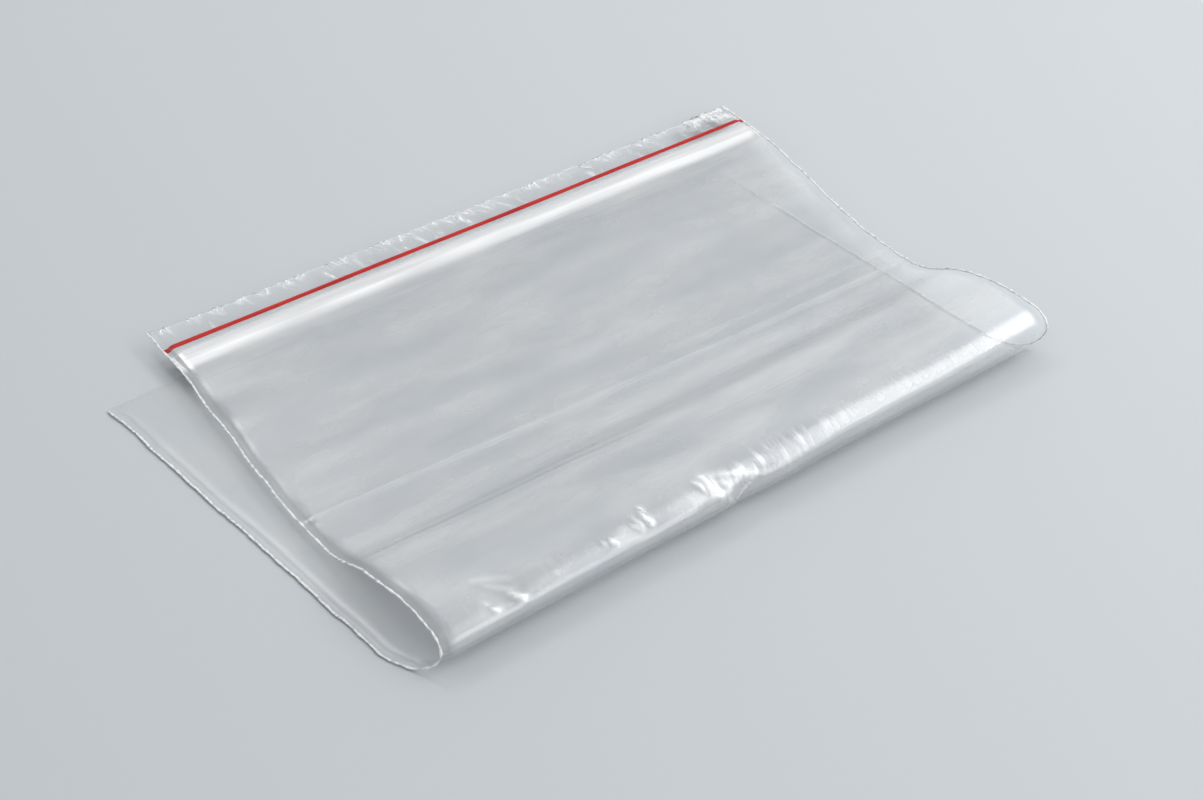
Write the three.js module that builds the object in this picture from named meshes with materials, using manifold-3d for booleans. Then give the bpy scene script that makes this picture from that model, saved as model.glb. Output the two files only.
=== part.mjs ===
// A clear press-seal bag of blown low-density polyethylene film. It is empty, pressed shut, folded over once
// near its middle and laid down on its lower leaf. Millimetres, +Z up, X along the zipper, Y from the fold to
// the mouth. The origin is under the middle of the bag's box, on the surface that it lies on.
import * as THREE from "three";
import { mergeVertices } from "three/addons/utils/BufferGeometryUtils.js";
import Module from "manifold-3d";

// The bag as it is cut, before it is folded over
const bagWidth = 240;
const bagLength = 350; // from the mouth's edge to the bottom fold
const filmThickness = 0.06;
const frontLipStep = 2.5; // the front wall stops this far short of the back wall at the mouth

// The hot-wire welds down both sides
const weldWidth = 1.6;
const beadWidth = 0.8;
const beadHeight = 0.5;

// The room between the walls of the empty bag
const wallGap = 0.8;
const mouthGap = 1.2;
const leastGap = 0.06; // where the walls run into a weld or into the bottom fold
const gapEase = 2.5; // the walls part over this much beside each weld
const bandEase = 5; // and over this much before and after the zipper band

// The press-seal zipper, measured from the mouth's edge
const zipCentre = 18;
const flangeWidth = 7;
const flangeThickness = 0.2;
const grooveDepth = 0.9;
const grooveWidth = 1.8;
const hookThickness = 0.3;
const hookWall = 0.4;
const hookOpening = 1;
const stemWidth = 0.5;
const headWidth = 1.3;
const headClearance = 0.2; // above and below the head inside the groove
const stripEndGap = 0.4; // between the end of a strip and the weld's slope
const seatGap = 0.02; // between a wall and the strip or line that is laid on it

// The red line beside the zipper, drawn out together with the front wall
const redLineCentre = 13;
const redLineWidth = 2;
const redLineThickness = 0.05;

// How the folded bag lies, seen from its side
const foldDepth = 178; // from the mouth's edge to the nose of the fold
const creaseDepth = 113; // to the pressed crease
const crownDepth = 157; // to the highest line of the bulge behind the fold
const crownHeight = 16;
const creaseHeight = 3.8;
const bandHeight = 5; // of the zipper band's middle
const touchBack = 9; // from the nose of the fold back to where the lower leaf meets the table
const rippleHeight = 0.5; // of the slack waves along the upper leaf
const ripplePitch = 28;
const leftSink = 0.12; // the share by which the bulge is lower at its left end

// How it lies, seen from above
const foldSkew = THREE.MathUtils.degToRad(1.8); // the fold isn't quite parallel to the mouth
const lowerLeafTurn = THREE.MathUtils.degToRad(5.5); // the lower leaf fans out to the left
const lowerLeafSlide = 10; // and has slid this far to the left in the fold
const leafSway = 4.5; // the upper leaf bows this far to the left at the crease
const rightPinch = 4; // and its slack draws the right weld in by this much

// The meshes' steps, and how far a cut runs past what it cuts
const columnStep = 18;
const leafStep = 7;
const foldStep = 3.5;
const flatStep = 35;
const overcut = 1;

const bodyHalf = wallGap / 2 + filmThickness;
const zipGap = 2 * flangeThickness + grooveDepth + hookThickness + headClearance + 2 * seatGap;
const bandStart = redLineCentre - redLineWidth;
const bandEnd = zipCentre + flangeWidth / 2 + stripEndGap;

const { smoothstep, lerp } = THREE.MathUtils;
const side = sideProfile();
const creasePull = Math.log(0.5) / Math.log((creaseDepth - bandEnd) / (side.noseAt - bandEnd));

const polyethylene = (color, opacity) =>
  new THREE.MeshStandardMaterial({ color, opacity, transparent: opacity < 1, roughness: 0.25, metalness: 0 });
const filmFinish = polyethylene("#e3e7e8", 0.45);
const zipFinish = polyethylene("#eef0ef", 0.7);
const redFinish = polyethylene("#cf2a1c", 1);

// The middle surface between the walls as (y, z), with y = 0 at the mouth and the fold towards -y
function sideProfile() {
  const nose = -foldDepth;
  const touch = nose + touchBack;
  const noseHeight = (crownHeight + bodyHalf) / 2;
  const rise = (crownDepth - creaseDepth) / 2;
  const settle = (creaseDepth - bandEnd) / 2;
  const roundness = 0.55; // a Bezier handle's share of a quarter round
  const noseHandle = (crownHeight - noseHeight) * roundness;
  const path = new THREE.Path();
  path.moveTo(0, bandHeight);
  path.lineTo(-bandEnd, bandHeight);
  const curveTo = (...places) => path.bezierCurveTo(...places.flat());
  curveTo([-bandEnd - settle, bandHeight], [-creaseDepth + settle, creaseHeight], [-creaseDepth, creaseHeight]);
  curveTo([-creaseDepth - rise, creaseHeight], [-crownDepth + rise, crownHeight], [-crownDepth, crownHeight]);
  curveTo([lerp(-crownDepth, nose, roundness), crownHeight], [nose, noseHeight + noseHandle], [nose, noseHeight]);
  curveTo([nose, noseHeight - noseHandle], [lerp(touch, nose, roundness), bodyHalf], [touch, bodyHalf]);
  const upperLength = path.getLength();
  return { path, touch, upperLength, noseAt: upperLength - path.curves.at(-1).getLength() };
}

function profilePoint(s) {
  if (s < 0) return new THREE.Vector2(-s, bandHeight);
  if (s > side.upperLength) return new THREE.Vector2(side.touch + s - side.upperLength, bodyHalf);
  return side.path.getPointAt(s / side.upperLength);
}

// The middle surface: u runs across the bag from its centre line, s along it from the mouth
function surfacePoint(u, s) {
  const { x: y, y: z } = profilePoint(s);
  const acrossShare = u / bagWidth + 0.5; // 0 at the left weld, 1 at the right weld
  const foldShare = Math.max(0, s - bandEnd) / (side.noseAt - bandEnd); // 1 at the nose of the fold
  const bow = Math.sin(Math.PI * Math.min(foldShare, 1) ** creasePull);
  const turned = smoothstep(s, side.noseAt - touchBack, side.upperLength + touchBack);
  const slide = (lowerLeafSlide + Math.tan(lowerLeafTurn) * (y + foldDepth)) * turned;
  const slackStart = smoothstep(s, bandEnd, bandEnd + ripplePitch);
  const slackEnd = smoothstep(s, creaseDepth - ripplePitch, creaseDepth);
  const ripple = rippleHeight * (slackStart - slackEnd) * Math.sin((2 * Math.PI * (s - bandEnd)) / ripplePitch);
  const sink = leftSink * (1 - acrossShare) * smoothstep(s, bandEnd, crownDepth);
  return new THREE.Vector3(
    u - bow * (leafSway + rightPinch * acrossShare ** 2) - slide,
    y + Math.tan(foldSkew) * u * foldShare,
    bodyHalf + (z - bodyHalf) * (1 - sink) + ripple,
  );
}

// A point of the bag at the offset n from the middle surface: front wall above 0, back wall below
function bagPoint(u, s, n) {
  const tiny = 0.01;
  const across = surfacePoint(u + tiny, s).sub(surfacePoint(u - tiny, s));
  const along = surfacePoint(u, s + tiny).sub(surfacePoint(u, s - tiny));
  return surfacePoint(u, s).addScaledVector(along.cross(across).normalize(), n);
}

// Half the room between the walls
function halfGap(u, s) {
  const fromWeld = Math.min(bagWidth / 2 - Math.abs(u), bagLength - s) - weldWidth;
  const lipGap = lerp(mouthGap, zipGap, smoothstep(s, bandStart - bandEase, bandStart));
  const gap = s < bandEnd ? lipGap : lerp(zipGap, wallGap, smoothstep(s, bandEnd, bandEnd + bandEase));
  return lerp(leastGap, gap, smoothstep(fromWeld, 0, gapEase)) / 2;
}

// Half the bag's thickness: two films and the room between them, or the weld's bead
function halfThickness(u, s) {
  const roundOff = 1e-6;
  const onBead = bagWidth / 2 - Math.abs(u) < beadWidth + roundOff;
  return onBead ? beadHeight / 2 : halfGap(u, s) + filmThickness;
}

// from, then equal steps of at most step, up to but without to
function stations(from, to, step) {
  const count = Math.max(1, Math.ceil((to - from) / step));
  return Array.from({ length: count }, (_, i) => lerp(from, to, i / count));
}

// Places across the bag, up to a distance from its centre line
function columns(reach) {
  const edge = bagWidth / 2;
  const weld = edge - weldWidth;
  const right = [
    ...stations(0, weld - gapEase, columnStep),
    weld - gapEase,
    weld - gapEase / 2,
    weld,
    edge - beadWidth,
    edge,
  ].filter((u) => u > 0 && u <= reach);
  return [...right.map((u) => -u).reverse(), 0, ...right];
}

// Places along the bag between two distances from the mouth
function rows(from, to) {
  const all = [
    -overcut,
    0,
    bandStart - bandEase,
    bandStart,
    redLineCentre - redLineWidth / 2,
    redLineCentre + redLineWidth / 2,
    bandEnd,
    ...stations(bandEnd + bandEase / 2, creaseDepth, leafStep),
    ...stations(creaseDepth, side.upperLength, foldStep),
    ...stations(side.upperLength, bagLength - weldWidth - gapEase, flatStep),
    bagLength - weldWidth - gapEase,
    bagLength - weldWidth - gapEase / 2,
    bagLength - weldWidth,
    bagLength,
  ];
  return all.filter((s) => s >= from && s <= to);
}

// A closed layer of the bag between two offsets from the middle surface, over a grid of columns and rows
function layer(us, ss, lowOffset, highOffset) {
  const places = [];
  for (const offset of [lowOffset, highOffset])
    for (const s of ss) for (const u of us) places.push(...bagPoint(u, s, offset(u, s)));
  const at = (level, row, column) => (level * ss.length + row) * us.length + column;
  const faces = [];
  const quad = (a, b, c, d) => faces.push(a, b, c, a, c, d);
  const lastRow = ss.length - 1;
  const lastColumn = us.length - 1;
  for (let r = 0; r < lastRow; r++)
    for (let c = 0; c < lastColumn; c++) {
      quad(at(1, r, c), at(1, r + 1, c), at(1, r + 1, c + 1), at(1, r, c + 1));
      quad(at(0, r, c), at(0, r, c + 1), at(0, r + 1, c + 1), at(0, r + 1, c));
    }
  for (let r = 0; r < lastRow; r++) {
    quad(at(0, r, 0), at(0, r + 1, 0), at(1, r + 1, 0), at(1, r, 0));
    quad(at(0, r, lastColumn), at(1, r, lastColumn), at(1, r + 1, lastColumn), at(0, r + 1, lastColumn));
  }
  for (let c = 0; c < lastColumn; c++) {
    quad(at(0, 0, c), at(1, 0, c), at(1, 0, c + 1), at(0, 0, c + 1));
    quad(at(0, lastRow, c), at(0, lastRow, c + 1), at(1, lastRow, c + 1), at(1, lastRow, c));
  }
  const geometry = new THREE.BufferGeometry();
  geometry.setAttribute("position", new THREE.Float32BufferAttribute(places, 3));
  geometry.setIndex(faces);
  return geometry;
}

const wasm = await Module();
wasm.setup();

function solidOf(geometry) {
  const bare = geometry.clone();
  bare.deleteAttribute("normal");
  bare.deleteAttribute("uv");
  const merged = mergeVertices(bare, 1e-4);
  return new wasm.Manifold(
    new wasm.Mesh({
      numProp: 3,
      vertProperties: merged.attributes.position.array,
      triVerts: new Uint32Array(merged.index.array),
    }),
  );
}

function geometryOf(solid) {
  const { vertProperties, triVerts } = solid.getMesh();
  const geometry = new THREE.BufferGeometry();
  geometry.setAttribute("position", new THREE.BufferAttribute(vertProperties, 3));
  geometry.setIndex(new THREE.BufferAttribute(triVerts, 1));
  geometry.computeVertexNormals();
  return geometry;
}

// Both walls, their side welds and the bottom fold are one piece of film, open at the mouth
function bagFilm() {
  const edge = bagWidth / 2;
  const weld = edge - weldWidth;
  const outside = layer(columns(edge), rows(0, bagLength), (u, s) => -halfThickness(u, s), halfThickness);
  const inside = layer(columns(weld), rows(-overcut, bagLength - weldWidth), (u, s) => -halfGap(u, s), halfGap);
  const acrossAll = [-edge - overcut, edge + overcut];
  const lipStep = layer(acrossAll, [-overcut, frontLipStep], () => 0, () => halfThickness(0, 0) + overcut);
  const film = solidOf(outside).subtract(solidOf(inside)).subtract(solidOf(lipStep));
  return new THREE.Mesh(geometryOf(film), filmFinish);
}

// A zipper strip's section is drawn as (y, z) about the zipper's centre and drawn out along X
function zipperStrip(section) {
  const length = bagWidth - 2 * (weldWidth + gapEase + stripEndGap);
  const geometry = new THREE.ExtrudeGeometry(section, { depth: length, bevelEnabled: false });
  geometry.translate(0, 0, -length / 2);
  const strip = new THREE.Mesh(geometry, zipFinish);
  strip.rotation.set(Math.PI / 2, Math.PI / 2, 0);
  strip.position.set(0, -zipCentre, bandHeight);
  return strip;
}

// The female strip on the front wall: a flange with two hooks that point at each other
function grooveStrip() {
  const top = zipGap / 2 - seatGap;
  const ceiling = top - flangeThickness;
  const hookTop = ceiling - grooveDepth;
  const tip = hookTop - hookThickness;
  const outer = grooveWidth / 2 + hookWall;
  const half = [
    [flangeWidth / 2, top],
    [flangeWidth / 2, ceiling],
    [outer, ceiling],
    [outer, tip],
    [hookOpening / 2, tip],
    [hookOpening / 2, hookTop],
    [grooveWidth / 2, hookTop],
    [grooveWidth / 2, ceiling],
  ];
  return zipperStrip(mirroredSection(half));
}

// The male strip on the back wall: a flange, a stem and a head that snaps behind the hooks
function ribStrip() {
  const bottom = seatGap - zipGap / 2;
  const base = bottom + flangeThickness;
  const ceiling = zipGap / 2 - seatGap - flangeThickness;
  const headTop = ceiling - headClearance;
  const headLow = ceiling - grooveDepth + headClearance;
  const half = [
    [flangeWidth / 2, bottom],
    [flangeWidth / 2, base],
    [stemWidth / 2, base],
    [stemWidth / 2, headLow],
    [headWidth / 2, headLow],
    [headWidth / 2, (headLow + headTop) / 2],
    [stemWidth / 2, headTop],
  ];
  return zipperStrip(mirroredSection(half));
}

function mirroredSection(half) {
  const right = half.map(([y, z]) => new THREE.Vector2(y, z));
  const left = half.map(([y, z]) => new THREE.Vector2(-y, z)).reverse();
  return new THREE.Shape([...right, ...left]);
}

// The line lies on the outside of the front wall, from weld to weld
function redLine() {
  const us = columns(bagWidth / 2 - weldWidth);
  const ss = [redLineCentre - redLineWidth / 2, redLineCentre + redLineWidth / 2];
  const onFilm = (u, s) => halfThickness(u, s) + seatGap;
  return new THREE.Mesh(layer(us, ss, onFilm, (u, s) => onFilm(u, s) + redLineThickness), redFinish);
}

const pieces = {
  bag_film: bagFilm(),
  zipper_groove_strip: grooveStrip(),
  zipper_rib_strip: ribStrip(),
  red_line: redLine(),
};

const bag = new THREE.Group();
for (const [name, mesh] of Object.entries(pieces)) {
  mesh.name = name;
  bag.add(mesh);
}
const box = new THREE.Box3().setFromObject(bag);
const middle = box.getCenter(new THREE.Vector3());
bag.position.set(-middle.x, -middle.y, -box.min.z);

export default bag;
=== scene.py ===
import math

import bmesh
import bpy
import numpy as np
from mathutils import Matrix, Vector, noise


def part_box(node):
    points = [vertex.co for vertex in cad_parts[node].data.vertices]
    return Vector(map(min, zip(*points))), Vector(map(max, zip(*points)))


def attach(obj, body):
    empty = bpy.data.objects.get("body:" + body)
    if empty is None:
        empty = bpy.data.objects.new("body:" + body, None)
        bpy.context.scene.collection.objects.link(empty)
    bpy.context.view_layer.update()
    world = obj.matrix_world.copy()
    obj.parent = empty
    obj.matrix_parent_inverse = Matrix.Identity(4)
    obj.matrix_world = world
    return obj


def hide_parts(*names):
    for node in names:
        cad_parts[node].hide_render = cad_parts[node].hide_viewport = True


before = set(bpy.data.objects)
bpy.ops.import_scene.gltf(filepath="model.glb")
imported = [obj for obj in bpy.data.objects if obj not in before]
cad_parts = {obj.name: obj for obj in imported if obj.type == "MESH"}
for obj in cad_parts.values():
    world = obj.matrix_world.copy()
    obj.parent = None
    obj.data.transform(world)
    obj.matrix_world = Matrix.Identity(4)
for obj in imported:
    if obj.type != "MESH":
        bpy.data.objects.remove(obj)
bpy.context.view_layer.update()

# The bag in millimetres, as packed: u runs across it from its centre line, and s along it from the mouth
MM = 0.001
BAG_WIDTH = 240
BAG_LENGTH = 350
FILM = 0.06
FRONT_LIP_STEP = 2.5
WELD_WIDTH = 1.6
WALL_GAP = 0.8
MOUTH_GAP = 1.2
LEAST_GAP = 0.06
GAP_EASE = 2.5
BAND_GAP_EASE = 1.2
BAND_EASE = 5
ZIP_CENTRE = 18
FLANGE_WIDTH = 7
FLANGE_THICKNESS = 0.2
GROOVE_DEPTH = 0.9
GROOVE_WIDTH = 1.8
HOOK_THICKNESS = 0.3
HOOK_WALL = 0.4
HOOK_OPENING = 1
STEM_WIDTH = 0.5
HEAD_WIDTH = 1.3
HEAD_CLEARANCE = 0.2
SEAT_GAP = 0.02
STRIP_END_GAP = 0.4
ZIP_GAP = 1.84
RED_LINE_CENTRE = 13
RED_LINE_WIDTH = 2
RED_LINE_THICKNESS = 0.12
RED_LINE_STAND = 0.07
BAND_START = RED_LINE_CENTRE - RED_LINE_WIDTH
BAND_END = ZIP_CENTRE + FLANGE_WIDTH / 2 + STRIP_END_GAP
BODY_HALF = WALL_GAP / 2 + FILM

# How the folded bag lies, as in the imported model
FOLD_DEPTH = 178
CREASE_DEPTH = 113
CROWN_DEPTH = 157
CROWN_HEIGHT = 16
CREASE_HEIGHT = 3.8
BAND_HEIGHT = 5
TOUCH_BACK = 9
RIPPLE_HEIGHT = 0.5
RIPPLE_PITCH = 28
LEFT_SINK = 0.12
FOLD_SKEW = math.radians(1.8)
LOWER_LEAF_TURN = math.radians(5.5)
LOWER_LEAF_SLIDE = 10
LEAF_SWAY = 4.5
RIGHT_PINCH = 4

# The bead that the hot wire leaves: its outline, how far its middle is in from the edge, and over the table
BEAD_WIDTH = 0.75
BEAD_HEIGHT = 0.55
BEAD_INSET = 0.35
BEAD_OVER_TABLE = 0.36

# The photograph's camera, in millimetres from the bag's mouth, solved from the folded bag's four corners
CAMERA_PLACE = (-337.0, -557.6, 453.5)
CAMERA_HEADING = math.radians(35.73)
CAMERA_DROP = math.radians(39.45)
LENS = 66.83
SENSOR = 36

scene = bpy.context.scene
film_low, film_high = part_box("bag_film")
MOUTH_MIDDLE = Vector((film_high.x - BAG_WIDTH / 2 * MM, film_high.y, film_low.z))


def linear(code):
    """An sRGB hex colour as the linear colour that Blender's sockets take."""
    parts = [int(code[i : i + 2], 16) / 255 for i in (1, 3, 5)]
    return [c / 12.92 if c <= 0.04045 else ((c + 0.055) / 1.055) ** 2.4 for c in parts] + [1]


def add(tree, kind, inputs=None, **settings):
    """One node with its settings, and its sockets set to values or linked to other nodes' sockets."""
    node = tree.nodes.new(kind)
    for name, value in settings.items():
        setattr(node, name, value)
    for key, value in (inputs or {}).items():
        if isinstance(value, bpy.types.NodeSocket):
            tree.links.new(value, node.inputs[key])
        else:
            node.inputs[key].default_value = value
    return node


# The shape of the folded film


def smoothstep(x, start, end):
    t = np.clip((x - start) / (end - start), 0, 1)
    return t * t * (3 - 2 * t)


def bell(x, width):
    """A smooth bump: 1 where x is 0, and fading out over the width to both sides."""
    return np.exp(-((x / width) ** 2))


def bezier(points, count=400):
    t = np.linspace(0, 1, count)[:, None]
    a, b, c, d = (np.array(p, float) for p in points)
    return a * (1 - t) ** 3 + 3 * b * t * (1 - t) ** 2 + 3 * c * t**2 * (1 - t) + d * t**3


def side_profile():
    """The lay from the side: tables of s, y and z, and s at the nose and where the lower leaf starts."""
    nose = -FOLD_DEPTH
    touch = nose + TOUCH_BACK
    nose_height = (CROWN_HEIGHT + BODY_HALF) / 2
    rise = (CROWN_DEPTH - CREASE_DEPTH) / 2
    settle = (CREASE_DEPTH - BAND_END) / 2
    roundness = 0.55
    handle = (CROWN_HEIGHT - nose_height) * roundness
    band = (-BAND_END, BAND_HEIGHT)
    crease = (-CREASE_DEPTH, CREASE_HEIGHT)
    crown = (-CROWN_DEPTH, CROWN_HEIGHT)
    pieces = [
        bezier([(0, BAND_HEIGHT)] * 2 + [band] * 2),
        bezier([band, (band[0] - settle, BAND_HEIGHT), (crease[0] + settle, CREASE_HEIGHT), crease]),
        bezier([crease, (crease[0] - rise, CREASE_HEIGHT), (crown[0] + rise, CROWN_HEIGHT), crown]),
        bezier(
            [
                crown,
                (crown[0] + (nose - crown[0]) * roundness, CROWN_HEIGHT),
                (nose, nose_height + handle),
                (nose, nose_height),
            ]
        ),
        bezier(
            [
                (nose, nose_height),
                (nose, nose_height - handle),
                (touch + (nose - touch) * roundness, BODY_HALF),
                (touch, BODY_HALF),
            ]
        ),
    ]
    lengths = [np.linalg.norm(np.diff(p, axis=0), axis=1).sum() for p in pieces]
    places = np.concatenate([pieces[0], *[p[1:] for p in pieces[1:]]])
    s = np.concatenate([[0], np.cumsum(np.linalg.norm(np.diff(places, axis=0), axis=1))])
    tail = [(touch + 2 * BAG_LENGTH, BODY_HALF)]
    places = np.concatenate([places, tail])
    s = np.append(s, s[-1] + 2 * BAG_LENGTH)
    return s, places, sum(lengths[:-1]), sum(lengths)


PROFILE_S, PROFILE, NOSE_AT, UPPER_LENGTH = side_profile()
CREASE_PULL = math.log(0.5) / math.log((CREASE_DEPTH - BAND_END) / (NOSE_AT - BAND_END))


def waves(u, s, pitch_u, pitch_s, seed):
    """Smooth random waves between about -1 and 1, of one pitch across the bag and one along it."""
    flat = zip(np.ravel(u) / pitch_u, np.ravel(s) / pitch_s)
    return np.array([noise.noise((a, b, seed)) for a, b in flat]).reshape(np.shape(u))


def creases(u, s, pitch_u, pitch_s, seed):
    """Sharp random ridges between 0 and 1."""
    return 1 - np.minimum(np.abs(waves(u, s, pitch_u, pitch_s, seed)) * 3, 1)


def middle(u, s):
    """The middle surface between the walls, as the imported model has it."""
    y = np.interp(s, PROFILE_S, PROFILE[:, 0])
    z = np.interp(s, PROFILE_S, PROFILE[:, 1])
    across = u / BAG_WIDTH + 0.5
    fold_share = np.maximum(0, s - BAND_END) / (NOSE_AT - BAND_END)
    bow = np.sin(math.pi * np.minimum(fold_share, 1) ** CREASE_PULL)
    turned = smoothstep(s, NOSE_AT - TOUCH_BACK, UPPER_LENGTH + TOUCH_BACK)
    slide = (LOWER_LEAF_SLIDE + math.tan(LOWER_LEAF_TURN) * (y + FOLD_DEPTH)) * turned
    slack = smoothstep(s, BAND_END, BAND_END + RIPPLE_PITCH)
    slack = slack - smoothstep(s, CREASE_DEPTH - RIPPLE_PITCH, CREASE_DEPTH)
    ripple = RIPPLE_HEIGHT * slack * np.sin(2 * math.pi * (s - BAND_END) / RIPPLE_PITCH)
    sink = LEFT_SINK * (1 - across) * smoothstep(s, BAND_END, CROWN_DEPTH)
    return np.stack(
        [
            u - bow * (LEAF_SWAY + RIGHT_PINCH * across**2) - slide,
            y + math.tan(FOLD_SKEW) * u * fold_share,
            BODY_HALF + (z - BODY_HALF) * (1 - sink) + ripple,
        ],
        -1,
    )


# Where the photograph shows the fold pushed in: u, s, reach across, reach along, depth
HOLLOWS = [(-95, 174, 7, 6, 0.9), (-47, 180, 6, 5, 0.5), (-20, 181, 5, 5, 0.7), (-6, 183, 6, 5, 1.6)]

# Sharp creases that the photograph shows on the fold, raised in relief and painted white for their glints:
# from u, s to u, s, half width, and how sharp
FOLD_CREASES = [
    (-23.5, 173, -22.3, 176.5, 0.8, 0.8),
    (-20.6, 172.5, -20.2, 178, 1.3, 1.0),
    (-21, 176.5, -17.6, 180.4, 1.1, 1.0),
    (-16.5, 176.5, -14.5, 179.5, 1.1, 0.35),
    (-15.8, 181, -14, 184, 0.6, 0.3),
    (-43.3, 171.5, -44.9, 174.4, 0.6, 0.9),
    (-44.9, 174.4, -43.6, 177.4, 0.8, 0.9),
    (-47.6, 173.6, -46.4, 177, 0.8, 0.4),
    (-49.2, 175.6, -46.9, 178, 0.7, 0.35),
    (-60.2, 176.3, -59.8, 176.8, 0.5, 0.6),
    (-57.8, 176.4, -57, 178.4, 0.6, 0.8),
    (-77.6, 177.4, -77.4, 177.7, 0.5, 0.8),
    (-93, 177.3, -90.2, 179.4, 0.8, 1.0),
    (-94, 176, -93, 177.3, 0.6, 0.6),
    (-91, 172, -100, 167.5, 1.1, 0.22),
    (-92.5, 175.5, -98, 170.5, 1.1, 0.25),
    (-102.1, 175.3, -101.9, 175.7, 0.5, 0.7),
    (-100.3, 178, -99.6, 179, 0.5, 0.8),
    (-19, 172.3, -11, 175.4, 1.0, 0.35),
    (-11, 175.4, -4, 179, 1.0, 0.4),
    (-5, 179.8, -9.5, 182.6, 0.5, 0.5),
    (-8.5, 181.3, -12.6, 185.4, 0.5, 0.5),
]

# Where the photograph shows the brightest crinkles in the lips, across the bag: the crinkles there are
# strongest, in relief and in their painted white glints
LIP_GLINTS = [-51, -33, -23, 1, 30, 56, 63, 84, 109, 117]

# The waves of the upper leaf: height, pitch across, pitch along and seed of each
UPPER_WAVES = [(0.8, 90, 45, 3.1), (0.5, 50, 17, 7.7), (0.14, 130, 7, 11.3), (0.12, 21, 9, 15.9)]

# The crease across the body runs a little aslant, with a fainter one beside it on the right
CREASE_BACK = 1
CREASE_SLANT = 0.042
SECOND_CREASE_BACK = 6
SECOND_CREASE_SLANT = 0.02

# The streaks across the body at the left: where they start, their middle, slant, pitch and reach
STREAKS_START = 130
STREAKS_MIDDLE = 143
STREAKS_SLANT = 0.06
STREAKS_PITCH = 0.75
STREAKS_REACH = 4.5

# How far the air and the zipper's ridge push each wall outwards, in millimetres
AIR_LIFT = 0.18
RIDGE_LIFT = 0.3
RIDGE_REACH = 1.3

# The scuffs on the fold, which lie on its highlight and whose whitened streaks are painted streaks of that
# highlight: where they are strongest, u and s, and their reach across and along the bag
SCUFFS_AT = (6, 176)
SCUFFS_REACH = (18, 3.5)
LEAST_SCUFFED = 0.08

# How white the film is drawn at the zipper, partly pressed white and partly a painted highlight on its
# ridge, the painted light just below it and the painted sheen beside the fold, and how clear at two of its
# places
ZIP_WHITENESS_AND_HIGHLIGHT = 0.9
BELOW_ZIP_PAINTED_LIGHT = 0.2
BY_FOLD_PAINTED_SHEEN = 0.13
ZIP_CLEARNESS = 0.7
LOWER_LEAF_CLEARNESS = 0.72


def fold_creases(u, s):
    """How sharply the fold is creased at a place, between 0 and 1."""
    sharpest = np.zeros(np.shape(u))
    for from_u, from_s, to_u, to_s, width, sharp in FOLD_CREASES:
        run = np.array([to_u - from_u, to_s - from_s])
        share = np.clip(((u - from_u) * run[0] + (s - from_s) * run[1]) / (run @ run), 0, 1)
        off = np.hypot(u - from_u - share * run[0], s - from_s - share * run[1])
        sharpest = np.maximum(sharpest, sharp * bell(off, width))
    return sharpest


def past_crease(u, s):
    """How far along the bag a place lies past the crease across the body."""
    return s - CREASE_DEPTH + CREASE_BACK - CREASE_SLANT * u


def second_crease(u, s, width):
    """How near a place is to the fainter crease, which fades in towards the right."""
    off = past_crease(u, s) + SECOND_CREASE_BACK + SECOND_CREASE_SLANT * u
    return bell(off, width) * smoothstep(u, -60, 60)


def buckle(u, s):
    """How far the bag as a whole is buckled out of its lay, in millimetres along its normal."""
    free = smoothstep(s, BAND_END, BAND_END + RIPPLE_PITCH)
    lower = smoothstep(s, NOSE_AT, UPPER_LENGTH)
    upper = free * (1 - lower)
    waved = sum(height * waves(u, s, across, along, seed) for height, across, along, seed in UPPER_WAVES)
    past = past_crease(u, s)
    creased = 0.22 * bell(past, 1.4) - 0.12 * bell(past - 3.5, 2.2) + 0.2 * second_crease(u, s, 1.2)
    slanted = s - STREAKS_SLANT * u
    streaks = 0.16 * np.sin((slanted - STREAKS_START) / STREAKS_PITCH)
    streaks = streaks * bell(slanted - STREAKS_MIDDLE, STREAKS_REACH) * (1 - smoothstep(u, -40, 0))
    out = upper * (waved + creased + streaks)
    out = out + (1 - free) * 0.4 * waves(u, s, 75, 60, 2.2)
    for at_u, at_s, reach_u, reach_s, depth in HOLLOWS:
        out = out - depth * bell(u - at_u, reach_u) * bell(s - at_s, reach_s)
    out = out + 0.6 * fold_creases(u, s)
    return out + lower * 0.25 * (1 + waves(u, s, 40, 30, 5.5))


def lift(u, s, side):
    """How far a wall's film stands off the middle surface. Side is 1 for the front wall, -1 for the back."""
    from_weld = np.minimum(BAG_WIDTH / 2 - np.abs(u), BAG_LENGTH - s) - WELD_WIDTH
    lip = MOUTH_GAP + (ZIP_GAP - MOUTH_GAP) * smoothstep(s, BAND_START - BAND_EASE, BAND_START)
    body = ZIP_GAP + (WALL_GAP - ZIP_GAP) * smoothstep(s, BAND_END, BAND_END + BAND_EASE)
    gap = np.where(s < BAND_END, lip, body)
    ease = BAND_GAP_EASE + (GAP_EASE - BAND_GAP_EASE) * smoothstep(s, BAND_END, BAND_END + BAND_EASE)
    opened = smoothstep(from_weld / ease, 0, 1)
    air = AIR_LIFT * (1 + waves(u, s, 26, 20, 21.7 + side)) * smoothstep(s, BAND_END, BAND_END + 10)
    ridge = RIDGE_LIFT * bell(s - ZIP_CENTRE, RIDGE_REACH)
    crinkled, _ = lip_crinkle(u, s, side)
    stand = LEAST_GAP / 2 + opened * ((gap - LEAST_GAP) / 2 + air + ridge)
    return stand + crinkled * smoothstep(from_weld, -2, 3)


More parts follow.
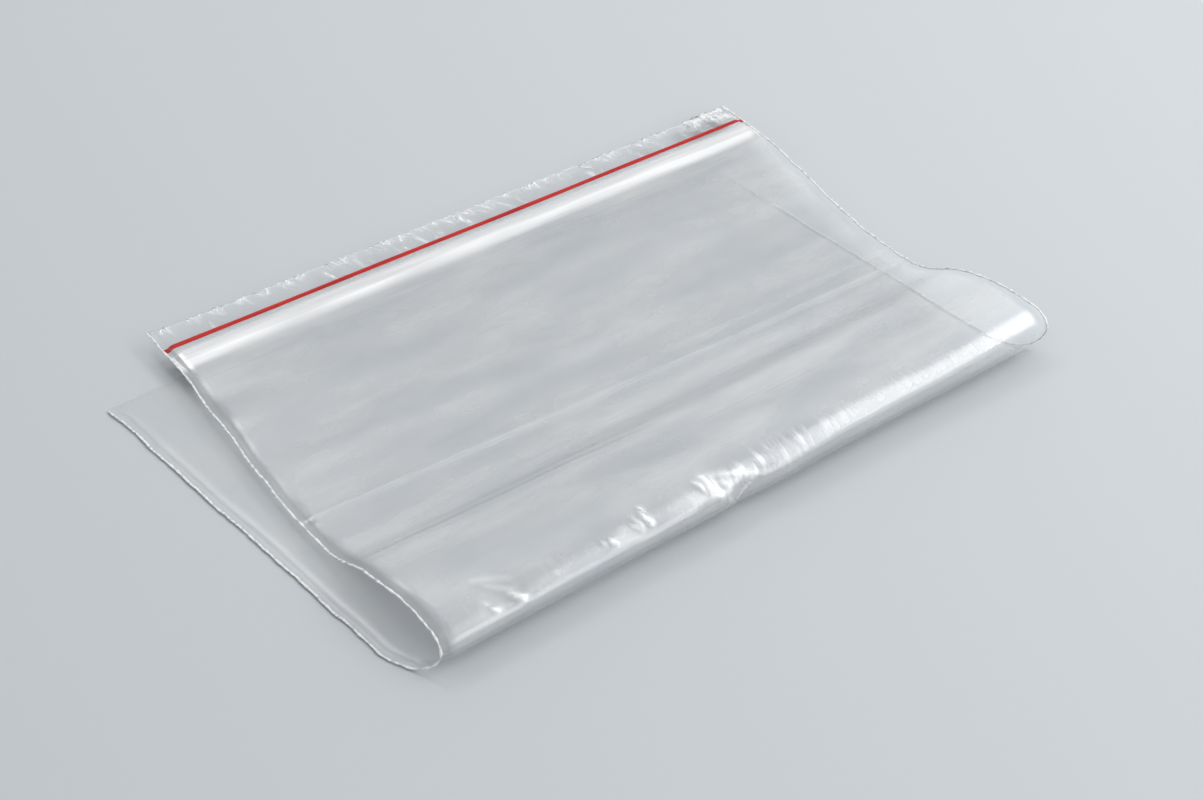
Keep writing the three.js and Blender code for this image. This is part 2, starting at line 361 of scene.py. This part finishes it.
def lip_crinkles(side):
    """The short sharp crinkles across one lip: u, s, half length, half width, slant and strength of each."""
    draw = np.random.default_rng(23 + side)
    found = []
    for u in np.arange(-BAG_WIDTH / 2 + 4, BAG_WIDTH / 2 - 4, 2.6):
        beside = min(abs(u - glint) for glint in LIP_GLINTS)
        strength = draw.uniform(0.3, 0.8) + 0.5 * bell(beside, 3.5)
        if draw.random() < 0.35 and beside > 4:
            continue
        deep = draw.random() < 0.18
        at = draw.uniform(6, 10) if deep else draw.uniform(0.5, 3.5)
        reach = draw.uniform(1.4, 3.4)
        aside = draw.uniform(-1, 1)
        width = draw.uniform(0.35, 0.75)
        slant = draw.uniform(-0.2, 0.6)
        found.append((u + aside, at, reach, width, slant, strength))
    return found


def lip_crinkle(u, s, side):
    """How far out the crinkled free lips stand, most at the right corner, and how sharply they crease, which
    whitens them partly as painted glints, with a painted glint along each lip's cut edge.
    """
    free = (1 - smoothstep(s, 0, BAND_START)) ** 0.7
    folds = np.zeros(np.shape(u))
    if np.min(s) < BAND_START:
        for at_u, at_s, reach, width, slant, strength in lip_crinkles(side):
            off = u - at_u - slant * (s - at_s)
            along = np.exp(-(((s - at_s) / reach) ** 4))
            folds = np.maximum(folds, strength * along * bell(off, width))
    corner = smoothstep(u, BAG_WIDTH / 2 - 26, BAG_WIDTH / 2 - 14) * (1 - smoothstep(s, 7, 12))
    crushed = np.minimum(creases(u, s, 5, 6, 53.3 * side) + 0.6 * creases(u, s, 2.6, 3.4, 57.1 * side), 1)
    flare = 0.5 * (1 + waves(u, s, 38, 80, 61.7 * side))
    # A painted glint along the lip's cut edge
    rim_glint = bell(s - (FRONT_LIP_STEP if side > 0 else 0), 0.4)
    stand = free * (0.9 * folds + 0.5 * flare) + 1.2 * corner * crushed
    return stand, np.clip(folds + corner * crushed**2 + 0.4 * rim_glint, 0, 1)


def film_state(u, s, side):
    """What the finish reads at each place: how sharply creased, and so how white, with painted light added
    in, how clear and how scuffed the film is.
    """
    # The lips' crinkles are whitened, partly as painted glints
    _, creased = lip_crinkle(u, s, side)
    # The fold's creases are painted white here as well, as glints
    creased = np.maximum(creased, fold_creases(u, s) * (side > 0))
    past = past_crease(u, s)
    # A whitened line along each crease across the body, partly the crease's own whitening and partly a
    # painted highlight along it
    lines_and_painted_light = 0.15 * bell(past, 0.8) + 0.08 * second_crease(u, s, 0.9)
    # The film drawn white over the zipper, partly pressed white and partly a painted highlight on its ridge,
    # and painted light below it that lifts the shade where the film dips
    at_zip = smoothstep(s, ZIP_CENTRE - 2.5, ZIP_CENTRE) * (1 - smoothstep(s, BAND_END, BAND_END + 6))
    below_zip = smoothstep(s, ZIP_CENTRE, BAND_END) * (1 - smoothstep(s, BAND_END + 5, BAND_END + 20))
    zip_white_and_painted_light = ZIP_WHITENESS_AND_HIGHLIGHT * at_zip + BELOW_ZIP_PAINTED_LIGHT * below_zip
    lines_and_painted_light = lines_and_painted_light + zip_white_and_painted_light * (0.85 + 0.3 * waves(u, s, 30, 1.3, 33.3))
    # Painted sheen on the slope before the fold
    by_fold = smoothstep(past, 0, 12) * (1 - smoothstep(s, 150, 170)) * bell(u - 25, 50)
    lines_and_painted_light = lines_and_painted_light + BY_FOLD_PAINTED_SHEEN * by_fold
    creased = np.maximum(creased, lines_and_painted_light)
    from_side = BAG_WIDTH / 2 - np.abs(u)
    margin = 1 - smoothstep(from_side + 1.2 * waves(u, s, 9, 22, 91.7), 2, 6)
    lip = 1 - smoothstep(s, RED_LINE_CENTRE - 2, RED_LINE_CENTRE + 2)
    band = ZIP_CLEARNESS * (1 - smoothstep(s, BAND_END - 3, BAND_END + 3))
    lower = LOWER_LEAF_CLEARNESS * smoothstep(s, NOSE_AT, UPPER_LENGTH + 10)
    clear = np.max([margin, lip, band, lower], axis=0)
    across = LEAST_SCUFFED + (1 - LEAST_SCUFFED) * bell(u - SCUFFS_AT[0], SCUFFS_REACH[0])
    scuffs_and_painted_streaks = across * bell(s - SCUFFS_AT[1], SCUFFS_REACH[1])
    return creased, clear, scuffs_and_painted_streaks


def edge_wander(u, s):
    """The hot-wire cut isn't quite straight: how far a place near a side edge moves across."""
    near = smoothstep(np.abs(u), BAG_WIDTH / 2 - 12, BAG_WIDTH / 2)
    seed = np.where(u > 0, 71.3, 83.9)
    wander = 0.55 * waves(u * 0 + seed, s, 1, 14, 1.5) + 0.25 * waves(u * 0 + seed, s, 1, 3.1, 4.5)
    return near * wander


def film_surface(u, s, side, outer):
    """One face of one wall, in millimetres from the mouth's middle, on a grid of s rows and u columns."""
    core = middle(u + edge_wander(u, s), s)
    across = np.gradient(core, axis=1)
    along = np.gradient(core, axis=0)
    normal = np.cross(along, across)
    normal = normal / np.linalg.norm(normal, axis=-1, keepdims=True)
    stand = lift(u, s, side) + (FILM if outer else 0)
    place = core + normal * (buckle(u, s) + side * stand)[..., None]
    # On the lower leaf the front wall lies on the table and the back wall on it
    on_table = (0 if outer else FILM) if side > 0 else (3 * FILM if outer else 2 * FILM)
    place[..., 2] = np.maximum(place[..., 2], on_table)
    return place


def to_metres(places):
    return places * MM + np.array(MOUTH_MIDDLE)


def piece_of(name, mesh, smooth=True):
    """An object at the origin for a mesh that has its place in it."""
    mesh.polygons.foreach_set("use_smooth", [smooth] * len(mesh.polygons))
    mesh.update()
    piece = bpy.data.objects.new(name, mesh)
    scene.collection.objects.link(piece)
    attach(piece, "root")
    return piece


def film_mesh(name, places, faces, lay, state, finishes):
    """The film's mesh, with its own u and s as its UV map and its state as attributes."""
    mesh = bpy.data.meshes.new(name)
    mesh.from_pydata(places.tolist(), [], faces)
    uv = mesh.uv_layers.new(name="lay")
    corners = np.zeros(len(mesh.loops), np.int32)
    mesh.loops.foreach_get("vertex_index", corners)
    uv.data.foreach_set("uv", (lay[corners] * MM).astype(np.float32).ravel())
    for label, values in zip(("creased", "clear", "scuffs_and_painted_streaks"), state.T):
        layer = mesh.attributes.new(label, "FLOAT", "POINT")
        layer.data.foreach_set("value", values.astype(np.float32))
    for finish in finishes:
        mesh.materials.append(finish)
    inner = [min(face) >= len(places) // 2 for face in faces]
    mesh.polygons.foreach_set("material_index", inner)
    return mesh


def film_piece(name, front_us, back_us, rows, front_start, closed_end, finishes):
    """Both walls of a stretch of the bag as one closed skin of film, open at its first row, and at its last
    one too unless closed_end. The front wall's rows start at front_start."""
    reach = BAG_WIDTH / 2
    weld_share = (reach - WELD_WIDTH) / reach
    front_rows = front_start + (rows - rows[0]) * (rows[-1] - front_start) / (rows[-1] - rows[0])
    places, lay, state = [], [], []
    for outer in (True, False):
        end = rows[-1] - (WELD_WIDTH if closed_end and not outer else 0)
        shorter = (end - rows[0]) / (rows[-1] - rows[0])
        sides = []
        for side, us, stations in ((1, front_us, front_rows), (-1, back_us, rows)):
            fitted = stations if outer else rows[0] + (stations - rows[0]) * shorter
            u, s = np.meshgrid(us * (1 if outer else weld_share), fitted)
            looks = np.stack([u, s, *film_state(u, s, side)], -1)
            sides.append((film_surface(u, s, side, outer), looks))
        # Each row runs along the front wall from left to right, and back along the back wall
        places.append(np.concatenate([sides[0][0], sides[1][0][:, ::-1]], axis=1))
        looks = np.concatenate([sides[0][1], sides[1][1][:, ::-1]], axis=1).reshape(-1, 5)
        lay.append(looks[:, :2])
        state.append(looks[:, 2:])
    count, ring = places[0].shape[:2]
    index = np.arange(2 * count * ring).reshape(2, count, ring)
    after = np.roll(index, -1, axis=2)

    def quads(a, b, c, d):
        return np.stack([a, b, c, d], -1).reshape(-1, 4).tolist()

    faces = quads(index[0, :-1], index[0, 1:], after[0, 1:], after[0, :-1])
    faces += quads(index[1, :-1], after[1, :-1], after[1, 1:], index[1, 1:])
    faces += quads(index[0, 0], after[0, 0], after[1, 0], index[1, 0])
    if closed_end:
        faces += [index[0, -1, ::-1].tolist(), index[1, -1].tolist()]
    else:
        faces += quads(index[0, -1], index[1, -1], after[1, -1], after[0, -1])
    corners = to_metres(np.concatenate([p.reshape(-1, 3) for p in places]))
    mesh = film_mesh(name, corners, faces, np.concatenate(lay), np.concatenate(state), finishes)
    return piece_of(name, mesh)


def steps(*stretches):
    """Places along the bag: each stretch is its start and its step, and the last only its end."""
    found = []
    for (start, step), (end, _) in zip(stretches, stretches[1:]):
        found.extend(np.linspace(start, end, max(1, round((end - start) / step)), endpoint=False))
    return np.array(found + [stretches[-1][0]])


# Finishes


def finish_tree(name):
    material = bpy.data.materials.new(name)
    material.use_nodes = True
    tree = material.node_tree
    tree.nodes.clear()
    return material, tree


def per_metre(millimetres):
    """A noise's scale for features of that size, on coordinates in metres."""
    return 1 / (millimetres * MM)


def stretched_noise(tree, lay, across_mm, along_mm, detail=2.0, roughness=0.5):
    """Noise on the film's own lay, longer across the bag than along it, as the die draws it."""
    scaled = add(
        tree,
        "ShaderNodeMapping",
        {"Vector": lay, "Scale": (per_metre(across_mm), per_metre(along_mm), 1)},
    )
    return add(
        tree,
        "ShaderNodeTexNoise",
        {"Vector": scaled.outputs[0], "Scale": 1.0, "Detail": detail, "Roughness": roughness},
        noise_dimensions="2D",
    ).outputs["Fac"]


def attribute(tree, name):
    """What the mesh says of the film at each place."""
    return add(tree, "ShaderNodeAttribute", attribute_name=name).outputs["Fac"]


def relief(tree, height, strength, millimetres):
    """Fine relief of that depth, for a shader's normal."""
    sockets = {"Height": height, "Strength": strength, "Distance": millimetres * MM}
    return add(tree, "ShaderNodeBump", sockets).outputs[0]


def to_range(tree, value, low, high, out_low, out_high):
    return add(
        tree,
        "ShaderNodeMapRange",
        {"Value": value, "From Min": low, "From Max": high, "To Min": out_low, "To Max": out_high},
    ).outputs[0]


def multiply_add(tree, value, factor, addend):
    sockets = {0: value, 1: factor, 2: addend}
    return add(tree, "ShaderNodeMath", sockets, operation="MULTIPLY_ADD").outputs[0]


def blend(tree, share, first, second):
    """A mix of two colours."""
    sockets = {0: share, 6: first, 7: second}
    return add(tree, "ShaderNodeMix", sockets, data_type="RGBA").outputs[2]


def blown_film():
    """Blown low-density polyethylene film: a milky haze lies over it in clouds and in fine lines across the
    bag, its side margins and lips are clearer, and sharp creases turn white. White is painted in as well:
    glints on the lips' crinkles and cut edges and on the fold's dents, a highlight on the zipper's ridge,
    and painted light below the zipper and on the slope before the fold. Scuffs on the fold break up its
    gloss, and their streaks are whitened as painted streaks of its highlight. Alpha thins the gloss with the
    haze, so the coat's index is raised to give it back."""
    material, tree = finish_tree("blown polyethylene film")
    lay = add(tree, "ShaderNodeUVMap", uv_map="lay").outputs[0]
    scuffs_and_painted_streaks = attribute(tree, "scuffs_and_painted_streaks")
    clouds = stretched_noise(tree, lay, 42, 13, detail=1.5, roughness=0.5)
    lines = stretched_noise(tree, lay, 110, 1.8, detail=1)
    scratches = stretched_noise(tree, lay, 1.5, 9, detail=0)
    mottles = stretched_noise(tree, lay, 12, 5, detail=3)
    # The scuffs' streaks are whitened, as painted streaks of the fold's highlight
    streaks = to_range(tree, scratches, 0.5, 0.66, 0, 0.5)
    # What is drawn white is partly crease whitening and partly painted light: glints, the zipper ridge's
    # highlight, light below the zipper and on the slope before the fold, and highlight streaks on the scuffs
    whitening_and_painted_light = multiply_add(tree, streaks, scuffs_and_painted_streaks, attribute(tree, "creased"))
    haze = to_range(tree, clouds, 0.3, 0.7, 0.26, 0.33)
    haze = multiply_add(tree, mottles, 0.08, haze)
    haze = multiply_add(tree, lines, 0.02, haze)
    thinned = add(
        tree,
        "ShaderNodeMix",
        {0: attribute(tree, "clear"), 2: haze, 3: 0.08},
        data_type="FLOAT",
    )
    alpha = multiply_add(tree, whitening_and_painted_light, 0.75, thinned.outputs[0])
    cloudiness = to_range(tree, clouds, 0.3, 0.7, 0, 1)
    tint = blend(tree, cloudiness, linear("#e2e8ee"), linear("#eff1f2"))
    scratched = relief(tree, scratches, to_range(tree, scuffs_and_painted_streaks, 0.1, 1, 0, 0.2), 0.3)
    surface = add(
        tree,
        "ShaderNodeBsdfPrincipled",
        {
            "Base Color": blend(tree, whitening_and_painted_light, tint, linear("#ffffff")),
            "Roughness": to_range(tree, lines, 0.3, 0.7, 0.27, 0.32),
            "IOR": 1.51,
            "Coat Weight": 1.0,
            "Coat IOR": 2.8,
            "Coat Roughness": 0.27,
            "Alpha": alpha,
            "Normal": scratched,
            "Coat Normal": scratched,
        },
    )
    add(tree, "ShaderNodeOutputMaterial", {"Surface": surface.outputs[0]})
    return material


def inner_film():
    """The film's inner face: the outer one has the haze, and this one only whitens the sharpest creases,
    painted glints and the zipper's band among them.
    """
    material, tree = finish_tree("blown polyethylene film, inner face")
    surface = add(
        tree,
        "ShaderNodeBsdfPrincipled",
        {
            "Base Color": linear("#c3c9cd"),
            "Roughness": 0.3,
            "IOR": 1.51,
            "Alpha": to_range(tree, attribute(tree, "creased"), 0.3, 1, 0, 0.3),
        },
    )
    add(tree, "ShaderNodeOutputMaterial", {"Surface": surface.outputs[0]})
    return material


def weld_finish():
    """Polyethylene melted and frozen by the hot wire: white, because it cooled slowly, and beaded."""
    material, tree = finish_tree("hot-wire weld in polyethylene")
    place = add(tree, "ShaderNodeTexCoord").outputs["Object"]
    beads = add(tree, "ShaderNodeTexNoise", {"Vector": place, "Scale": per_metre(1.5), "Detail": 2.0})
    surface = add(
        tree,
        "ShaderNodeBsdfPrincipled",
        {
            "Base Color": linear("#fcfdfc"),
            "Roughness": to_range(tree, beads.outputs["Fac"], 0.3, 0.7, 0.2, 0.4),
            "IOR": 1.51,
            "Alpha": to_range(tree, beads.outputs["Fac"], 0.35, 0.55, 0.6, 1.0),
            "Normal": relief(tree, beads.outputs["Fac"], 0.4, 0.2),
        },
    )
    add(tree, "ShaderNodeOutputMaterial", {"Surface": surface.outputs[0]})
    return material


def zipper_finish():
    """Drawn polyethylene profile, with fine lines from the die: thicker than the film and so milkier, and
    nearly white where the rib sits in its groove, while its flanges thin out to clear."""
    material, tree = finish_tree("drawn polyethylene profile")
    place = add(tree, "ShaderNodeTexCoord").outputs["Object"]
    drawn = add(
        tree,
        "ShaderNodeMapping",
        {"Vector": place, "Scale": (per_metre(60), per_metre(0.6), per_metre(0.6))},
    )
    lines = add(tree, "ShaderNodeTexNoise", {"Vector": drawn.outputs[0], "Scale": 1.0, "Detail": 2.0})
    along = add(tree, "ShaderNodeSeparateXYZ", {0: place}).outputs["Y"]
    centre = MOUTH_MIDDLE.y - (ZIP_CENTRE + 0.6) * MM
    off_centre = add(tree, "ShaderNodeMath", {0: along, 1: centre}, operation="SUBTRACT").outputs[0]
    off_centre = add(tree, "ShaderNodeMath", {0: off_centre}, operation="ABSOLUTE").outputs[0]
    surface = add(
        tree,
        "ShaderNodeBsdfPrincipled",
        {
            "Base Color": linear("#ffffff"),
            "Roughness": to_range(tree, lines.outputs["Fac"], 0.3, 0.7, 0.2, 0.35),
            "IOR": 1.51,
            "Alpha": to_range(tree, off_centre, 0, 3.4 * MM, 0.95, 0.12),
            "Normal": relief(tree, lines.outputs["Fac"], 0.3, 0.1),
        },
    )
    add(tree, "ShaderNodeOutputMaterial", {"Surface": surface.outputs[0]})
    return material


def red_resin():
    """Red pigmented polyethylene: the pigment lies unevenly along the line, so its red deepens and pales."""
    material, tree = finish_tree("red pigmented polyethylene")
    place = add(tree, "ShaderNodeTexCoord").outputs["Object"]
    drawn = add(
        tree,
        "ShaderNodeMapping",
        {"Vector": place, "Scale": (per_metre(18), per_metre(1.2), per_metre(1.2))},
    )
    pigment = add(
        tree,
        "ShaderNodeTexNoise",
        {"Vector": drawn.outputs[0], "Scale": 1.0, "Detail": 3.0},
    ).outputs["Fac"]
    depth = to_range(tree, pigment, 0.35, 0.65, 0, 1)
    surface = add(
        tree,
        "ShaderNodeBsdfPrincipled",
        {
            "Base Color": blend(tree, depth, linear("#b50f05"), linear("#cf1c0e")),
            "Roughness": to_range(tree, pigment, 0.3, 0.7, 0.3, 0.45),
            "IOR": 1.51,
            "Specular IOR Level": 0.2,
            "Alpha": to_range(tree, pigment, 0.3, 0.7, 0.9, 1.0),
            "Normal": relief(tree, pigment, 0.3, 0.1),
        },
    )
    add(tree, "ShaderNodeOutputMaterial", {"Surface": surface.outputs[0]})
    return material


# Pieces that follow a path on the film are swept by Geometry Nodes


def sweep_tree():
    """A profile drawn along a path, which is cut into even steps, and swollen and thinned by noise."""
    tree = bpy.data.node_groups.new("profile drawn along a path", "GeometryNodeTree")
    sockets = [
        ("Path", "INPUT", "Geometry"),
        ("Profile", "INPUT", "Object"),
        ("Step", "INPUT", "Float"),
        ("Unevenness", "INPUT", "Float"),
        ("Swell Pitch", "INPUT", "Float"),
        ("Finish", "INPUT", "Material"),
        ("Swept", "OUTPUT", "Geometry"),
    ]
    for label, way, kind in sockets:
        tree.interface.new_socket(label, in_out=way, socket_type="NodeSocket" + kind)
    given = add(tree, "NodeGroupInput").outputs
    line = add(
        tree,
        "GeometryNodeResampleCurve",
        {"Curve": given["Path"], "Length": given["Step"]},
        mode="LENGTH",
    )
    upright = add(tree, "GeometryNodeSetCurveNormal", {"Curve": line.outputs[0]}, mode="Z_UP")
    place = add(tree, "GeometryNodeInputPosition")
    pitch = add(tree, "ShaderNodeMath", {0: 1.0, 1: given["Swell Pitch"]}, operation="DIVIDE")
    swells = add(
        tree,
        "ShaderNodeTexNoise",
        {"Vector": place.outputs[0], "Scale": pitch.outputs[0], "Detail": 1.0},
    )
    centred = add(tree, "ShaderNodeMath", {0: swells.outputs["Fac"], 1: 0.5}, operation="SUBTRACT")
    scale = multiply_add(tree, centred.outputs[0], given["Unevenness"], 1.0)
    profile = add(tree, "GeometryNodeObjectInfo", {"Object": given["Profile"]})
    swept = add(
        tree,
        "GeometryNodeCurveToMesh",
        {
            "Curve": upright.outputs[0],
            "Profile Curve": profile.outputs["Geometry"],
            "Scale": scale,
            "Fill Caps": True,
        },
    )
    real = add(tree, "GeometryNodeRealizeInstances", {"Geometry": swept.outputs[0]})
    finished = add(
        tree,
        "GeometryNodeSetMaterial",
        {"Geometry": real.outputs[0], "Material": given["Finish"]},
    )
    add(tree, "NodeGroupOutput", {"Swept": finished.outputs[0]})
    return tree


def line_object(name, points, closed=False):
    curve = bpy.data.curves.new(name, "CURVE")
    curve.dimensions = "3D"
    spline = curve.splines.new("POLY")
    spline.points.add(len(points) - 1)
    for point, place in zip(spline.points, points):
        point.co = (*place, 1)
    spline.use_cyclic_u = closed
    line = bpy.data.objects.new(name, curve)
    scene.collection.objects.link(line)
    return line


def swept_piece(tree, name, path, outline, step, unevenness, swell_pitch, finish, smooth=True):
    """A profile in millimetres, across and up, drawn along a path in metres."""
    section = line_object(name + "_section", [(-a * MM, -b * MM, 0) for a, b in outline], closed=True)
    line = line_object(name + "_path", path)
    sweep = line.modifiers.new("sweep", "NODES")
    sweep.node_group = tree
    given = {
        "Profile": section,
        "Step": step * MM,
        "Unevenness": unevenness,
        "Swell Pitch": swell_pitch * MM,
        "Finish": finish,
    }
    for socket in tree.interface.items_tree:
        if socket.in_out == "INPUT" and socket.name in given:
            sweep[socket.identifier] = given[socket.name]
    bpy.context.view_layer.update()
    depsgraph = bpy.context.evaluated_depsgraph_get()
    mesh = bpy.data.meshes.new_from_object(line.evaluated_get(depsgraph))
    mesh.name = name
    for spare in (line, section):
        bpy.data.objects.remove(spare)
    skin = bmesh.new()
    skin.from_mesh(mesh)
    bmesh.ops.remove_doubles(skin, verts=skin.verts, dist=1e-7)
    if skin.calc_volume(signed=True) < 0:
        bmesh.ops.reverse_faces(skin, faces=skin.faces)
    skin.to_mesh(mesh)
    skin.free()
    return piece_of(name, mesh, smooth)


def on_film(us, ss, stand):
    """A path in metres over the film, standing off its middle surface by so many millimetres."""
    reach = np.array([-0.5, 0, 0.5])
    found = []
    for u, s, high in zip(us, ss, stand):
        grid_u, grid_s = np.meshgrid(u + reach, s + reach)
        core = middle(grid_u, grid_s)
        normal = np.cross(core[2, 1] - core[0, 1], core[1, 2] - core[1, 0])
        normal = normal / np.linalg.norm(normal)
        found.append(core[1, 1] + normal * (buckle(grid_u, grid_s)[1, 1] + high))
    return np.array(found)


def round_outline(width, height, count=10):
    turns = np.linspace(0, 2 * math.pi, count, endpoint=False)
    return [(width / 2 * math.cos(t), height / 2 * math.sin(t)) for t in turns]


def both_sides(half):
    """A half outline, from the outer end to the middle, with its mirror image."""
    return half + [(-a, b) for a, b in reversed(half)]


def side_weld(tree, name, sign, finish):
    """The bumpy white bead that the hot wire leaves down one side, over the fold and round to the bottom."""
    ss = np.arange(0.4, BAG_LENGTH, 0.8)
    us = np.full(len(ss), sign * (BAG_WIDTH / 2 - BEAD_INSET))
    wander = edge_wander(us, ss) + 0.12 * waves(us * 0 + sign, ss, 1, 1.7, 6.3)
    path = on_film(us + wander, ss, np.zeros(len(ss)))
    path[:, 2] = np.maximum(path[:, 2], BEAD_OVER_TABLE)
    return swept_piece(
        tree,
        name,
        to_metres(path),
        round_outline(BEAD_WIDTH, BEAD_HEIGHT, count=8),
        step=0.5,
        unevenness=1.9,
        swell_pitch=1.3,
        finish=finish,
    )


def zipper_strips(tree, finish):
    """The two halves of the press-seal: a groove with two hooks, and a rib with an arrow head."""
    top = ZIP_GAP / 2 - SEAT_GAP
    ceiling = top - FLANGE_THICKNESS
    hook_top = ceiling - GROOVE_DEPTH
    tip = hook_top - HOOK_THICKNESS
    inner = GROOVE_WIDTH / 2
    outer = inner + HOOK_WALL
    edge = FLANGE_WIDTH / 2
    opening = HOOK_OPENING / 2
    groove = [(edge, top), (edge, ceiling), (outer, ceiling), (outer, tip)]
    groove += [(opening, tip), (opening, hook_top), (inner, hook_top), (inner, ceiling)]
    bottom = -top
    base = bottom + FLANGE_THICKNESS
    stem = STEM_WIDTH / 2
    head = HEAD_WIDTH / 2
    head_top = ceiling - HEAD_CLEARANCE
    head_low = hook_top + HEAD_CLEARANCE
    rib = [(edge, bottom), (edge, base), (stem, base), (stem, head_low)]
    rib += [(head, head_low), (head, (head_low + head_top) / 2), (stem, head_top)]
    reach = BAG_WIDTH / 2 - WELD_WIDTH - BAND_GAP_EASE
    us = np.linspace(-reach, reach, 113)
    path = to_metres(on_film(us, np.full(len(us), ZIP_CENTRE), np.zeros(len(us))))
    for name, half, node in (
        ("groove_strip", groove, "zipper_groove_strip"),
        ("rib_strip", rib, "zipper_rib_strip"),
    ):
        strip = swept_piece(
            tree,
            name,
            path,
            both_sides(half),
            step=2.1,
            unevenness=0,
            swell_pitch=20,
            finish=finish,
            smooth=False,
        )
        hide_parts(node)


def red_line(tree, finish):
    """The red resin line, drawn on the front wall just above the zipper: it swells and thins a little."""
    reach = BAG_WIDTH / 2 - 0.6
    us = np.linspace(-reach, reach, 200)
    stand = ZIP_GAP / 2 + FILM + RED_LINE_STAND
    path = on_film(us, np.full(len(us), RED_LINE_CENTRE), np.full(len(us), stand))
    near_end = 1 - smoothstep(BAG_WIDTH / 2 - np.abs(us) - WELD_WIDTH, 0, BAND_GAP_EASE)
    path[:, 2] -= near_end * (ZIP_GAP - LEAST_GAP) / 2
    line = swept_piece(
        tree,
        "red_resin_line",
        to_metres(path),
        round_outline(RED_LINE_WIDTH, RED_LINE_THICKNESS),
        step=1.2,
        unevenness=0.35,
        swell_pitch=24,
        finish=finish,
    )
    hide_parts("red_line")
    return line


# The floor, the light and the camera


def floor_and_light():
    """A plain pale floor under soft studio light, placed as the photograph's highlights ask for it."""
    material, tree = finish_tree("matt studio board")
    place = add(tree, "ShaderNodeTexCoord").outputs["Object"]
    tooth = add(tree, "ShaderNodeTexNoise", {"Vector": place, "Scale": per_metre(4), "Detail": 2.0})
    board = add(
        tree,
        "ShaderNodeBsdfPrincipled",
        {
            "Base Color": linear("#ccd0d3"),
            "Roughness": to_range(tree, tooth.outputs["Fac"], 0.3, 0.7, 0.62, 0.7),
            "Specular IOR Level": 0.3,
        },
    )
    add(tree, "ShaderNodeOutputMaterial", {"Surface": board.outputs[0]})
    mesh = bpy.data.meshes.new("floor")
    half = 4
    below = -0.0002
    corners = [(-half, -half, below), (half, -half, below), (half, half, below), (-half, half, below)]
    mesh.from_pydata(corners, [], [(0, 1, 2, 3)])
    mesh.materials.append(material)
    floor = bpy.data.objects.new("floor", mesh)
    scene.collection.objects.link(floor)

    world = bpy.data.worlds.new("studio")
    world.use_nodes = True
    tree = world.node_tree
    tree.nodes.clear()
    room = add(tree, "ShaderNodeBackground", {"Color": linear("#eceff2"), "Strength": 0.5})
    add(tree, "ShaderNodeOutputWorld", {"Surface": room.outputs[0]})
    scene.world = world

    # Each box's name, place, target, size, turn in degrees and power in watts
    softboxes = [
        ("fold softbox", (0.98, -0.5, 1.06), (0.98, -0.5, 0.0), (0.62, 1.15), 15, 9.3),
        ("fold tail softbox", (0.42, -0.45, 1.06), (0.42, -0.45, 0.0), (0.36, 0.5), 15, 0.6),
        ("fold glow softbox", (0.62, 0.4, 1.06), (0.62, 0.4, 0.0), (0.9, 0.4), 0, 1.1),
        ("sheen softbox", (0.8, 1.2, 1.1), (0.0, 0.1, 0.0), (1.6, 1.3), 0, 2.4),
        ("glint softbox", (0.03, 0.85, 1.1), (0.0, 0.09, 0.0), (0.3, 0.3), 0, 2.4),
        ("back softbox", (1.9, 3.3, 0.8), (0.0, 0.0, 0.0), (3.4, 1.5), 0, 11.0),
        ("front softbox", (0.5, -1.5, 1.0), (0.1, 0.0, 0.0), (1.4, 0.9), 0, 9.0),
    ]
    for name, place, target, size, turn, power in softboxes:
        lamp = bpy.data.lights.new(name, "AREA")
        lamp.shape = "RECTANGLE"
        lamp.size, lamp.size_y = size
        lamp.energy = power
        box = bpy.data.objects.new(name, lamp)
        box.location = place
        box.rotation_euler = (Vector(target) - Vector(place)).to_track_quat("-Z", "Y").to_euler()
        box.rotation_euler.z += math.radians(turn)
        scene.collection.objects.link(box)


def camera_as_photographed():
    lens = bpy.data.cameras.new("camera")
    lens.lens = LENS
    lens.sensor_width = SENSOR
    lens.clip_start = 0.01
    camera = bpy.data.objects.new("camera", lens)
    camera.location = Vector(CAMERA_PLACE) * MM + MOUTH_MIDDLE
    camera.rotation_euler = (math.pi / 2 - CAMERA_DROP, 0, -CAMERA_HEADING)
    scene.collection.objects.link(camera)
    scene.camera = camera


# Making the bag

camera_as_photographed()
floor_and_light()

film_finishes = (blown_film(), inner_film())
weld = weld_finish()

# The film's rows and columns are closest where it is most creased
front_across = steps(
    (-120, 0.5),
    (-117, 1.5),
    (-105, 1.1),
    (-88, 2),
    (-64, 1.2),
    (-54, 0.95),
    (-2, 2.1),
    (105, 1.5),
    (117, 0.5),
    (120, 0),
)
back_across = steps((-120, 0.5), (-117, 1.5), (-105, 2.5), (105, 1.5), (117, 0.5), (120, 0))
down = steps(
    (RED_LINE_CENTRE, 0.9),
    (22, 2.3),
    (104, 1),
    (122, 2),
    (136, 1),
    (200, 5),
    (340, 2),
    (BAG_LENGTH, 0),
)
lips_across = steps((-120, 0.45), (120, 0))
lips_down = steps((0, 0.7), (RED_LINE_CENTRE, 0))

clear_film = film_piece(
    "clear_film",
    front_across,
    back_across,
    down,
    front_start=RED_LINE_CENTRE,
    closed_end=True,
    finishes=film_finishes,
)
mouth_lips = film_piece(
    "mouth_lips",
    lips_across,
    lips_across,
    lips_down,
    front_start=FRONT_LIP_STEP,
    closed_end=False,
    finishes=film_finishes,
)
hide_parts("bag_film")

tree = sweep_tree()
left_weld = side_weld(tree, "left_weld", -1, weld)
right_weld = side_weld(tree, "right_weld", 1, weld)
zipper_strips(tree, zipper_finish())
resin_line = red_line(tree, red_resin())

scene.view_settings.view_transform = "Standard"
scene.cycles.transparent_max_bounces = 40
scene.cycles.max_bounces = 3
scene.cycles.diffuse_bounces = 1
scene.cycles.glossy_bounces = 1
